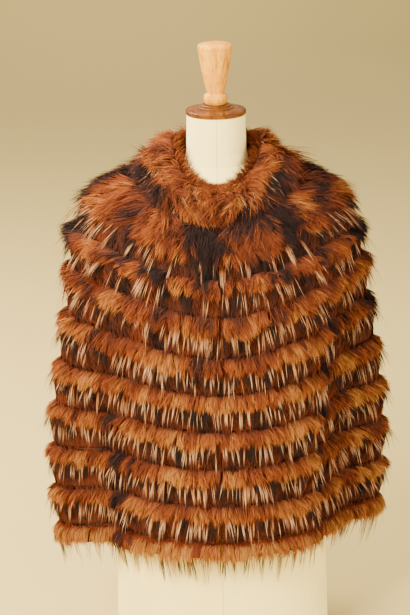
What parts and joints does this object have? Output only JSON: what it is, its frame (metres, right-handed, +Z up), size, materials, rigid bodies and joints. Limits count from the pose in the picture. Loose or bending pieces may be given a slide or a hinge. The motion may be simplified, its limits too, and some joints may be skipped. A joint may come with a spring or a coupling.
{
  "type": "fur poncho on a limbless dress form",
  "caption": "Fur poncho of sewn fur strips on a knitted ground, with a wrapped fur collar, hanging open at the hem on a limbless bust form with a turned wooden cap.",
  "frame": {"origin": "middle of the foot's underside, on the floor", "axes": "+Z up, +X to the wearer's left, -Y towards the front of the poncho"},
  "size_m": [0.5902, 0.3264, 1.0329],
  "materials": {
    "fur": "long-haired dyed fur, rust orange with cream and black guard hair",
    "ground": "matt dark brown knit",
    "canvas": "taut cream cotton canvas",
    "wood": "satin varnish, honey brown"
  },
  "bodies": {
    "root": {"fur_collar": "fur", "fur_row_1": "fur", "fur_row_2": "fur", "fur_row_3": "fur", "fur_row_4": "fur", "fur_row_5": "fur", "fur_row_6": "fur", "fur_row_7": "fur", "fur_row_8": "fur", "fur_row_9": "fur", "ground_back_left": "ground", "ground_back_right": "ground", "ground_front_left": "ground", "ground_front_right": "ground", "form_torso": "canvas", "form_cap": "wood", "form_knob": "wood", "form_foot": "wood"}
  },
  "joints": []
}
